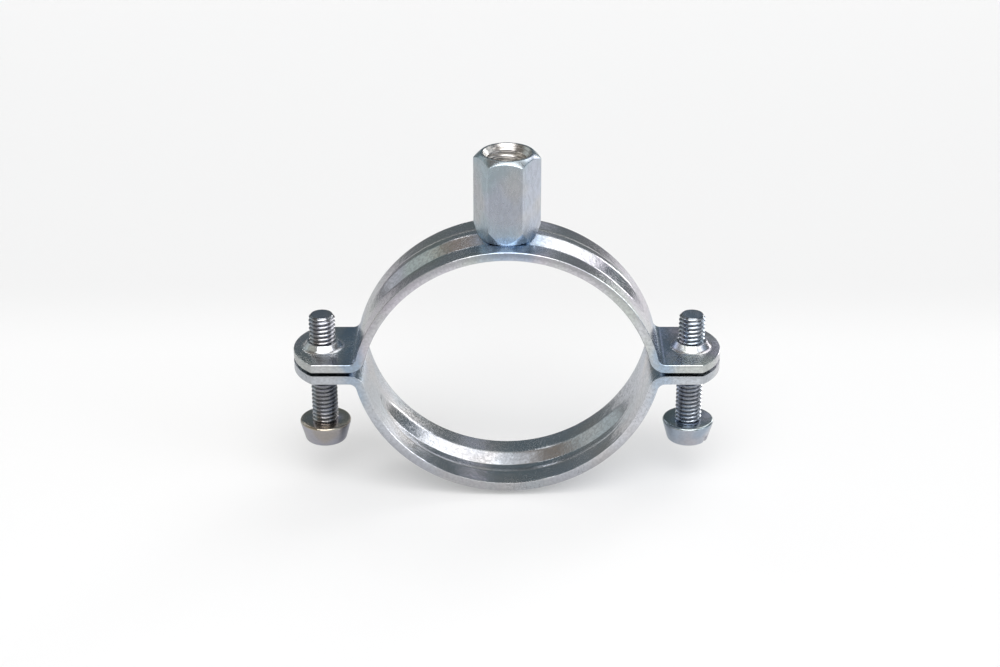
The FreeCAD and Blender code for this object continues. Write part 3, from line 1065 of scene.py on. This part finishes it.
class NodeGroup:
    """A shader node group that is made once, with its sockets, and placed where it is wanted."""

    def __init__(self, name: str, takes: dict[str, float], gives: Sequence[str]) -> None:
        """Make the group's tree and its sockets.

        Args:
            name: The group's name.
            takes: Its number inputs, with what each starts at.
            gives: Its number outputs.
        """
        self.tree = bpy.data.node_groups.new(name, "ShaderNodeTree")
        for label, start in takes.items():
            socket = self.tree.interface.new_socket(label, in_out="INPUT", socket_type="NodeSocketFloat")
            socket.default_value = start
        for label in gives:
            self.tree.interface.new_socket(label, in_out="OUTPUT", socket_type="NodeSocketFloat")
        self.wiring = Wiring(self.tree)
        self.inside = self.wiring.add("NodeGroupInput").outputs
        self.outside = self.wiring.add("NodeGroupOutput")

    def place(self, wiring: Wiring, **values: float) -> Outputs:
        """The outputs of the group's node, placed in a material with the given inputs."""
        node = wiring.add("ShaderNodeGroup", node_tree=self.tree)
        return wiring.feed(node, **values).outputs


class EdgeWearAndShading(NodeGroup):
    """Where handling has rubbed the plating smooth, and where a painted highlight and painted shade lie on
    the edges: the sharp edges, in broken patches.
    """

    LIKENESS = (0.99, 0.86)
    PATCH_RANGE = (0.3, 0.6)
    LEAST_WEAR = 0.35

    def __init__(self) -> None:
        """Compare the surface's normal with one that is rounded over the edge."""
        super().__init__("edge_wear_and_shading", {"Width": 0.0004, "Patch Scale": 300.0}, ("Mask",))
        wiring = self.wiring
        place = wiring.add("ShaderNodeTexCoord").outputs["Object"]
        rounded = wiring.feed(wiring.add("ShaderNodeBevel", samples=6), Radius=self.inside["Width"])
        normal = wiring.add("ShaderNodeNewGeometry").outputs["Normal"]
        likeness = wiring.vector("DOT_PRODUCT", rounded.outputs[0], normal)["Value"]
        patches = wiring.noise(place, self.inside["Patch Scale"], 3.0)
        edge = wiring.spread(likeness, *self.LIKENESS)
        share = wiring.spread(patches, *self.PATCH_RANGE, self.LEAST_WEAR, 1.0)
        wiring.feed(self.outside, Mask=wiring.math("MULTIPLY", edge, share))


class PlatingClouds(NodeGroup):
    """Soft clouds, coloured blooms, flecks and fine grain of an electroplated surface."""

    CLOUD_RANGE = (0.3, 0.7)
    TINT_SLICE = 3.7
    TINT_RANGE = (0.38, 0.62)
    BLOOM_SLICE = 9.1
    BLOOM_RANGE = (0.45, 0.65)
    FLECK_SCALE = 1500.0
    FLECK_RANGE = (0.38, 0.62)
    WAVE_SCALE = 420.0

    def __init__(self) -> None:
        """Layer noises of several sizes on the piece's own coordinates."""
        super().__init__(
            "plating_clouds",
            {"Cloud Scale": 60.0, "Grain Scale": 2400.0, "Drawn": 1.0},
            ("Cloud", "Tint", "Bloom", "Fleck", "Grain", "Waves"),
        )
        wiring = self.wiring
        place = wiring.add("ShaderNodeTexCoord").outputs["Object"]
        drawn_place = self._along_the_bar(place)
        cloud = wiring.noise(place, self.inside["Cloud Scale"], 3.0)
        fleck = wiring.noise(drawn_place, self.FLECK_SCALE, 3.0)
        wiring.feed(
            self.outside,
            Cloud=wiring.spread(cloud, *self.CLOUD_RANGE),
            Tint=wiring.spread(self._shifted_noise(place, self.TINT_SLICE), *self.TINT_RANGE),
            Bloom=wiring.spread(self._shifted_noise(place, self.BLOOM_SLICE), *self.BLOOM_RANGE),
            Fleck=wiring.spread(fleck, *self.FLECK_RANGE),
            Grain=wiring.noise(drawn_place, self.inside["Grain Scale"], 4.0),
            Waves=wiring.noise(drawn_place, self.WAVE_SCALE, 2.0),
        )

    def _along_the_bar(self, place: Socket) -> Socket:
        """The coordinates, stretched upwards as drawing a bar stretches its grain."""
        factors = self.wiring.add("ShaderNodeCombineXYZ")
        self.wiring.feed(factors, X=1.0, Y=1.0, Z=self.inside["Drawn"])
        return self.wiring.vector("MULTIPLY", place, factors.outputs[0])["Vector"]

    def _shifted_noise(self, place: Socket, shift: float) -> Socket:
        """A cloud-sized noise of its own.

        Args:
            place: The coordinates that it follows.
            shift: The slice of the noise, so that each use differs.

        Returns:
            The noise, around one half.
        """
        node = self.wiring.add("ShaderNodeTexNoise", noise_dimensions="4D")
        self.wiring.feed(node, Vector=place, Scale=self.inside["Cloud Scale"], W=shift, Detail=1.5)
        return node.outputs[0]


class PlatingZones(NodeGroup):
    """Where the plating differs by the weld, in the tapped bore and on the screws' head seats, and where
    light and shade are painted: a painted blue reflection in the bends, and painted shade in the screws'
    thread grooves.

    Places and distances are in metres. A range runs from where a zone has faded out to where it is full.
    """

    RAGGED_SCALE = 260.0
    RAGGED_DEPTH = 0.006
    WELD_MIDDLE = (0.0, -0.004, 0.030)
    WELD_CORE_SHARE = 0.55
    BEND_X = 0.0352
    BEND_REACH = (0.0075, 0.0035)
    BEND_LEVEL = (0.010, 0.005)
    BORE_REACH = (0.0057, 0.0053)
    SCREW_X = 0.042
    CREST_REACH = (0.00292, 0.0026)
    ROOT_REACH = (0.0022, 0.00235)
    HEAD_SEAT = -0.0162
    ABOVE_HEAD = (-0.0166, -0.0160)
    LEDGE_DEPTH = (0.0006, 0.0003)
    LEDGE_REACH = (-0.0005, 0.0030)

    def __init__(self) -> None:
        """Fade each zone out with its distance, with ragged borders."""
        zones = ("Weld", "Bend", "Bore", "Groove", "Ledge")
        super().__init__("plating_zones", {"Weld Reach": 0.013}, zones)
        wiring = self.wiring
        place = wiring.add("ShaderNodeTexCoord").outputs["Object"]
        parts = wiring.split(place)
        ragged = wiring.math("MULTIPLY", wiring.noise(place, self.RAGGED_SCALE, 3.0), self.RAGGED_DEPTH)
        from_weld = wiring.math("ADD", wiring.vector("DISTANCE", place, self.WELD_MIDDLE)["Value"], ragged)
        weld_core = wiring.math("MULTIPLY", self.inside["Weld Reach"], self.WELD_CORE_SHARE)
        outwards = wiring.math("ABSOLUTE", parts["X"])
        from_bend = wiring.math("ABSOLUTE", wiring.math("SUBTRACT", outwards, self.BEND_X))
        across = wiring.spread(wiring.math("ADD", from_bend, ragged), *self.BEND_REACH)
        level = wiring.spread(wiring.math("ABSOLUTE", parts["Z"]), *self.BEND_LEVEL)
        from_bore = self._from_axis(parts["X"], parts["Y"])
        from_screw = self._from_axis(wiring.math("SUBTRACT", outwards, self.SCREW_X), parts["Y"])
        below_crest = wiring.spread(from_screw, *self.CREST_REACH)
        in_groove = wiring.math("MULTIPLY", below_crest, wiring.spread(from_screw, *self.ROOT_REACH))
        from_ledge = wiring.math("ABSOLUTE", wiring.math("SUBTRACT", parts["Z"], self.HEAD_SEAT))
        near_rim = wiring.spread(wiring.math("SUBTRACT", from_screw, ragged), *self.LEDGE_REACH)
        wiring.feed(
            self.outside,
            Weld=wiring.spread(from_weld, self.inside["Weld Reach"], weld_core),
            # painted reflection: the bends between arc and flange take a blue that stands in for the
            # band's blue reflected there
            Bend=wiring.math("MULTIPLY", across, level),
            Bore=wiring.spread(from_bore, *self.BORE_REACH),
            # painted shade: the thread grooves above the head are darkened, standing in for the shade down
            # in the roots
            Groove=wiring.math("MULTIPLY", in_groove, wiring.spread(parts["Z"], *self.ABOVE_HEAD)),
            Ledge=wiring.math("MULTIPLY", wiring.spread(from_ledge, *self.LEDGE_DEPTH), near_rim),
        )

    def _from_axis(self, across: Socket, along: Socket) -> Socket:
        """Distance from an upright axis, from the distances along X and Y."""
        flat = self.wiring.feed(self.wiring.add("ShaderNodeCombineXYZ"), X=across, Y=along)
        return self.wiring.vector("LENGTH", flat.outputs[0])["Value"]


@dataclass(frozen=True)
class SharedEffects:
    """The node groups that every finish uses."""

    wear_and_shading: EdgeWearAndShading
    clouds: PlatingClouds
    zones: PlatingZones


@dataclass(frozen=True)
class ZincFinish:
    """Bright zinc plating: bluish white metal with faint coloured clouds, and edges that are partly rubbed
    smooth and partly painted: lighter as a painted highlight, darker on the boss as painted shade.
    """

    name: str
    slot: str
    colour: Colour
    tint: Colour
    bloom: Colour
    roughness: float
    # edge colour: partly rubbed plating, partly a painted edge highlight
    polished_and_edge_shading: Colour = (0.80, 0.81, 0.83, 1.0)
    # blue heat tint by the weld, also the colour of the painted blue reflection in the bends
    blued_and_reflected: Colour = (0.30, 0.44, 0.62, 1.0)
    yellowed: Colour = (0.67, 0.62, 0.56, 1.0)
    # colour of the painted shade in the thread grooves
    shaded: Colour = (0.09, 0.10, 0.11, 1.0)
    flecked: Colour = (0.30, 0.31, 0.32, 1.0)
    bloom_share: float = 0.75
    weld_share: float = 0.0
    weld_reach: float = 0.014
    # share of the painted blue reflection in the bends
    bend_reflection_share: float = 0.0
    bore_share: float = 0.0
    ledge_share: float = 0.0
    # share of the painted shade in the thread grooves
    groove_shade_share: float = 0.0
    fleck_share: float = 0.16
    # share of the edge colour, rubbed plating and painted edge light together
    wear_and_edge_shading_share: float = 0.7
    wear_smoothing: float = 0.4
    edge_width: float = 0.0004
    roughness_spread: float = 0.06
    cloud_scale: float = 75.0
    grain_scale: float = 2400.0
    grain_depth: float = 0.000024
    wave_depth: float = 0.00006
    drawn: float = 1.0

    def build(self, effects: SharedEffects) -> bpy.types.Material:
        """Wire the material.

        Args:
            effects: The shared node groups.

        Returns:
            The new material.
        """
        material = bpy.data.materials.new(self.name)
        material.use_nodes = True
        wiring = Wiring(material.node_tree)
        worn_and_edge_shading = effects.wear_and_shading.place(wiring, Width=self.edge_width)["Mask"]
        plating = effects.clouds.place(
            wiring,
            Cloud_Scale=self.cloud_scale,
            Grain_Scale=self.grain_scale,
            Drawn=self.drawn,
        )
        zones = effects.zones.place(wiring, Weld_Reach=self.weld_reach)
        base = wiring.blend(plating["Tint"], self.colour, self.tint)
        for mask, share, colour in (
            (plating["Bloom"], self.bloom_share, self.bloom),
            (zones["Weld"], self.weld_share, self.blued_and_reflected),
            # painted reflection: blue in the bends
            (zones["Bend"], self.bend_reflection_share, self.blued_and_reflected),
            (zones["Bore"], self.bore_share, self.yellowed),
            (zones["Ledge"], self.ledge_share, self.yellowed),
            # painted shade in the thread grooves
            (zones["Groove"], self.groove_shade_share, self.shaded),
            (plating["Fleck"], self.fleck_share, self.flecked),
            # rubbed edges with a painted highlight where the edge colour is light, and painted shade where
            # it is dark, as on the boss
            (worn_and_edge_shading, self.wear_and_edge_shading_share, self.polished_and_edge_shading),
        ):
            base = wiring.blend(wiring.math("MULTIPLY", mask, share), base, colour)
        rough = wiring.math("MULTIPLY_ADD", plating["Cloud"], self.roughness_spread, self.roughness)
        rough = wiring.math("MULTIPLY_ADD", plating["Fleck"], self.roughness_spread, rough)
        rough = wiring.math("MULTIPLY_ADD", worn_and_edge_shading, -self.wear_smoothing * self.roughness, rough)
        waves = wiring.add("ShaderNodeBump")
        wiring.feed(waves, Height=plating["Waves"], Strength=1.0, Distance=self.wave_depth)
        grain = wiring.add("ShaderNodeBump")
        wiring.feed(grain, Height=plating["Grain"], Strength=1.0, Distance=self.grain_depth)
        wiring.feed(grain, Normal=waves.outputs[0])
        shader = wiring.add("ShaderNodeBsdfPrincipled")
        wiring.feed(shader, Base_Color=base, Metallic=1.0, Roughness=rough, Normal=grain.outputs[0])
        wiring.feed(wiring.add("ShaderNodeOutputMaterial"), Surface=shader.outputs[0])
        return material


@dataclass(frozen=True)
class SoftPatch:
    """A soft-edged bright or coloured area of the studio's surround.

    Its core and its fade are the angles from its middle where it is full and where it has faded out.
    """

    towards: tuple[float, float, float]
    colour: Colour
    strength: float
    core: float
    fade: float


@dataclass(frozen=True)
class SoftBox:
    """A rectangular lamp that faces the clamp, in metres and watts."""

    name: str
    place: tuple[float, float, float]
    size: tuple[float, float]
    power: float


@dataclass
class Studio:
    """Plain pale floor and soft light round the clamp, in metres.

    A ramp holds where it starts and ends, and its value at either place. A change holds where it
    starts and ends, and what it adds in between and beyond.
    """

    floor_height: float
    standing_body: str = "lower_half"
    floor_size: float = 4.0
    floor_roughness: float = 0.9
    floor_colour: Colour = (0.563, 0.556, 0.553, 1.0)
    floor_glow: float = 0.312
    far_tone: Ramp = (0.060, 0.110, 1.0, 0.75)
    tone_lifts: tuple[Change, ...] = (
        (-0.15, 0.060, 0.11),
        (0.060, 0.42, 0.46),
    )
    mirrored_glow: float = 0.20
    mirrored_lean: Ramp = (-0.08, 0.10, -0.16, 0.08)
    mirrored_bands: tuple[Change, ...] = (
        (0.020, -0.015, -0.17),
        (-0.020, -0.045, 0.25),
        (-0.105, -0.155, -0.28),
    )
    mirrored_front_loss: Ramp = (-0.10, -0.15, 0.0, 0.2)
    surround_low: Colour = (0.19, 0.205, 0.205, 1.0)
    surround_back: Colour = (0.115, 0.145, 0.16, 1.0)
    surround_high: Colour = (0.12, 0.105, 0.095, 1.0)
    back_rise: tuple[float, float] = (0.08, 0.42)
    high_rise: tuple[float, float] = (0.5, 0.85)
    backdrop: Colour = (0.93, 0.93, 0.94, 1.0)
    patches: tuple[SoftPatch, ...] = (
        SoftPatch((0.13, -0.26, 0.96), WHITE, 1.1, 13.0, 28.0),
        SoftPatch((0.51, 0.46, 0.73), WHITE, 1.9, 12.5, 20.0),
        SoftPatch((0.645, 0.755, 0.02), WHITE, 4.0, 3.5, 7.5),
        SoftPatch((0.63, 0.74, 0.17), WHITE, 4.0, 3.5, 7.5),
        SoftPatch((0.61, 0.72, 0.32), WHITE, 4.0, 3.5, 7.5),
        SoftPatch((0.68, -0.38, 0.63), (0.97, 0.97, 1.0, 1.0), 1.8, 7.0, 16.0),
        SoftPatch((0.86, -0.31, 0.40), (0.97, 0.97, 1.0, 1.0), 1.4, 6.0, 14.0),
        SoftPatch((-0.31, 0.70, 0.64), WHITE, 3.0, 2.0, 5.0),
        SoftPatch((0.0, 0.28, 0.96), (0.92, 0.95, 1.0, 1.0), 0.7, 8.0, 22.0),
        SoftPatch((0.12, 0.62, 0.77), (0.94, 1.0, 0.98, 1.0), 0.55, 6.0, 15.0),
        SoftPatch((0.14, 0.43, 0.89), WHITE, 1.3, 4.5, 9.0),
        SoftPatch((-0.75, 0.50, 0.42), (0.66, 0.71, 0.70, 1.0), 0.62, 14.0, 24.0),
        SoftPatch((-0.35, 0.46, 0.82), (1.0, 0.80, 0.62, 1.0), 0.16, 8.0, 24.0),
        SoftPatch((0.20, 0.88, 0.40), (0.92, 0.86, 1.0, 1.0), 0.45, 2.5, 6.5),
        SoftPatch((-0.95, -0.35, 0.25), (1.0, 0.94, 0.78, 1.0), 0.42, 15.0, 45.0),
        SoftPatch((0.95, -0.35, 0.25), (0.60, 0.80, 1.0, 1.0), 0.45, 15.0, 45.0),
        SoftPatch((0.0, -0.9, 0.45), (0.95, 0.97, 1.0, 1.0), 0.8, 12.0, 36.0),
    )
    boxes: tuple[SoftBox, ...] = (
        SoftBox("front_box", (0.0, -0.50, 0.75), (0.90, 0.70), 5.6),
    )

    def build(self) -> None:
        """Build the floor, the lamps and the surround."""
        bpy.context.scene.view_settings.view_transform = "Standard"
        self._floor()
        self._lamps()
        self._surround()

    def _floor(self) -> None:
        """Lay a wide floor that goes down with the lower half, which stands on it."""
        floor = Bench.primitive(
            "studio_floor",
            bpy.ops.mesh.primitive_plane_add,
            size=self.floor_size,
            location=(0.0, 0.0, self.floor_height),
        )
        floor.data.materials.append(self._paper())
        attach(floor, self.standing_body)

    def _paper(self) -> bpy.types.Material:
        """The floor's pale paper: it shows white, keeps the shadow and is a little greyer far behind.

        Returns:
            The new material.
        """
        material = bpy.data.materials.new("floor_paper")
        material.use_nodes = True
        wiring = Wiring(material.node_tree)
        rays = wiring.add("ShaderNodeLightPath").outputs
        parts = wiring.split(wiring.add("ShaderNodeTexCoord").outputs["Object"])
        tone = wiring.spread(parts["Y"], *self.far_tone)
        for start, end, rise in self.tone_lifts:
            lift = wiring.add("ShaderNodeMapRange")
            wiring.feed(lift, Value=parts["Y"], From_Min=start, From_Max=end, To_Min=0.0, To_Max=rise)
            tone = wiring.math("ADD", tone, lift.outputs["Result"])
        mirrored = wiring.math("ADD", self.mirrored_glow, wiring.spread(parts["X"], *self.mirrored_lean))
        for start, end, change in self.mirrored_bands:
            mirrored = wiring.math("ADD", mirrored, wiring.spread(parts["Y"], start, end, 0.0, change))
        front_loss = wiring.spread(parts["Y"], *self.mirrored_front_loss)
        dimmed = wiring.math("MULTIPLY", rays["Is Glossy Ray"], front_loss)
        paper = wiring.add("ShaderNodeBsdfPrincipled")
        shade = wiring.blend(dimmed, self.floor_colour, BLACK)
        wiring.feed(paper, Base_Color=shade, Roughness=self.floor_roughness)
        seen = wiring.math("MAXIMUM", rays["Is Camera Ray"], rays["Is Transmission Ray"])
        shown = wiring.math("MULTIPLY", wiring.math("MULTIPLY", seen, tone), self.floor_glow)
        reflected = wiring.math("MULTIPLY", rays["Is Glossy Ray"], mirrored)
        glow = wiring.add("ShaderNodeEmission")
        wiring.feed(glow, Color=WHITE, Strength=wiring.math("MAXIMUM", shown, reflected))
        both = wiring.add("ShaderNodeAddShader")
        wiring.put(paper.outputs[0], both.inputs[0])
        wiring.put(glow.outputs[0], both.inputs[1])
        wiring.feed(wiring.add("ShaderNodeOutputMaterial"), Surface=both.outputs[0])
        return material

    def _lamps(self) -> None:
        """Make the soft boxes and face each of them towards the clamp."""
        for box in self.boxes:
            data = bpy.data.lights.new(box.name, "AREA")
            data.shape = "RECTANGLE"
            data.size, data.size_y = box.size
            data.energy = box.power
            lamp = bpy.data.objects.new(box.name, data)
            lamp.location = box.place
            lamp.rotation_euler = Vector(box.place).to_track_quat("Z", "Y").to_euler()
            bpy.context.scene.collection.objects.link(lamp)

    def _surround(self) -> None:
        """Light the world with a plain upward gradient and the soft patches, and show a plain backdrop."""
        world = bpy.data.worlds.new("studio_surround")
        world.use_nodes = True
        bpy.context.scene.world = world
        wiring = Wiring(world.node_tree)
        towards = wiring.add("ShaderNodeTexCoord").outputs["Generated"]
        height = wiring.split(towards)["Z"]
        total = wiring.blend(wiring.spread(height, *self.back_rise), self.surround_low, self.surround_back)
        total = wiring.blend(wiring.spread(height, *self.high_rise), total, self.surround_high)
        for patch in self.patches:
            alike = wiring.vector("DOT_PRODUCT", towards, Vector(patch.towards).normalized())["Value"]
            edge = math.cos(math.radians(patch.fade))
            core = math.cos(math.radians(patch.core))
            share = wiring.spread(alike, edge, core, 0.0, patch.strength)
            total = wiring.blend(share, total, patch.colour, "ADD")
        surround = wiring.feed(wiring.add("ShaderNodeBackground"), Color=total, Strength=1.0)
        shown = wiring.feed(wiring.add("ShaderNodeBackground"), Color=self.backdrop, Strength=1.0)
        seen = wiring.add("ShaderNodeLightPath").outputs["Is Camera Ray"]
        pick = wiring.add("ShaderNodeMixShader")
        for value, socket in zip((seen, surround.outputs[0], shown.outputs[0]), pick.inputs):
            wiring.put(value, socket)
        wiring.feed(wiring.add("ShaderNodeOutputWorld"), Surface=pick.outputs[0])


UPPER_STRIP_ZINC = ZincFinish(
    "upper_strip_zinc",
    "zinc_strip",
    colour=(0.66, 0.67, 0.70, 1.0),
    tint=(0.65, 0.61, 0.68, 1.0),
    bloom=(0.58, 0.62, 0.58, 1.0),
    roughness=0.14,
    weld_share=0.7,
    bend_reflection_share=0.7,
    fleck_share=0.29,
    roughness_spread=0.08,
    wave_depth=0.00008,
)
LOWER_STRIP_ZINC = ZincFinish(
    "lower_strip_zinc",
    "zinc_strip",
    colour=(0.63, 0.65, 0.71, 1.0),
    tint=(0.65, 0.63, 0.63, 1.0),
    bloom=(0.56, 0.61, 0.66, 1.0),
    roughness=0.14,
    bend_reflection_share=0.5,
    fleck_share=0.29,
    roughness_spread=0.08,
    wave_depth=0.00008,
)
BOSS_ZINC = ZincFinish(
    "boss_zinc",
    "zinc_boss",
    colour=(0.50, 0.60, 0.66, 1.0),
    tint=(0.57, 0.61, 0.70, 1.0),
    bloom=(0.62, 0.62, 0.63, 1.0),
    roughness=0.20,
    # painted shade: the boss's edges and chamfer are darkened, standing in for their dark edge lines and a
    # dimmer reflection
    polished_and_edge_shading=(0.42, 0.38, 0.39, 1.0),
    weld_share=0.3,
    weld_reach=0.012,
    yellowed=(0.68, 0.645, 0.605, 1.0),
    bore_share=0.9,
    fleck_share=0.22,
    cloud_scale=110.0,
    wave_depth=0.00003,
    drawn=0.4,
)
# The left screw's copy of the zinc is darker than the right one's: painted shade, for the shaded floor
# that its head reflects, over the screw's own lilac tint.
LEFT_SCREW_ZINC_SHADED = ZincFinish(
    "left_screw_zinc",
    "zinc_screw",
    colour=(0.50, 0.51, 0.59, 1.0),
    tint=(0.52, 0.51, 0.55, 1.0),
    bloom=(0.52, 0.47, 0.42, 1.0),
    roughness=0.13,
    yellowed=(0.58, 0.50, 0.37, 1.0),
    ledge_share=0.7,
    groove_shade_share=0.8,
    cloud_scale=140.0,
)
RIGHT_SCREW_ZINC = ZincFinish(
    "right_screw_zinc",
    "zinc_screw",
    colour=(0.50, 0.57, 0.67, 1.0),
    tint=(0.57, 0.57, 0.62, 1.0),
    bloom=(0.40, 0.51, 0.64, 1.0),
    roughness=0.13,
    yellowed=(0.38, 0.42, 0.40, 1.0),
    ledge_share=0.7,
    groove_shade_share=0.8,
    cloud_scale=140.0,
)


@dataclass
class PipeClamp:
    """The whole clamp: both ring halves, the hanger boss and the two clamp screws."""

    screw_x: float = 42.0
    left_slot_angle: float = 8.0
    right_slot_angle: float = -37.0

    def dress(self, piece: Piece, body: str, node: str,
              material: bpy.types.Material) -> None:
        """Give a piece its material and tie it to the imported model.

        Args:
            piece: The finished mesh object.
            body: The body that it rides on.
            node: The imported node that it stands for.
            material: The finish's material.
        """
        piece.data.materials.clear()
        piece.data.materials.append(material)
        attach(piece, body)
        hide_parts(node)
        LOG.info("%s: %d faces, in %s", piece.name, len(piece.data.polygons), material.name)

    def build(self) -> None:
        """Build and dress every piece."""
        effects = SharedEffects(EdgeWearAndShading(), PlatingClouds(), PlatingZones())
        strip = Strip()
        upper = UpperHalf("upper_half", "hanger", strip, self.screw_x)
        lower = LowerHalf("lower_half_ring", "lower_half", strip, self.screw_x)
        left = ClampScrew(Side.LEFT, self.left_slot_angle, self.screw_x)
        right = ClampScrew(Side.RIGHT, self.right_slot_angle, self.screw_x)
        for model, node, finish in (
            (upper, "upper_band", UPPER_STRIP_ZINC),
            (lower, "lower_band", LOWER_STRIP_ZINC),
            (HangerBoss("hex_boss"), "threaded_boss", BOSS_ZINC),
            (left, "left_screw", LEFT_SCREW_ZINC_SHADED),
            (right, "right_screw", RIGHT_SCREW_ZINC),
        ):
            self.dress(model.build(), model.body, node, finish.build(effects))


def main() -> None:
    """Build the clamp, its studio and its camera."""
    PhotoCamera().build()
    PipeClamp().build()
    Studio(CAD_BOX[0][2]).build()


if __name__ == "__main__":
    main()
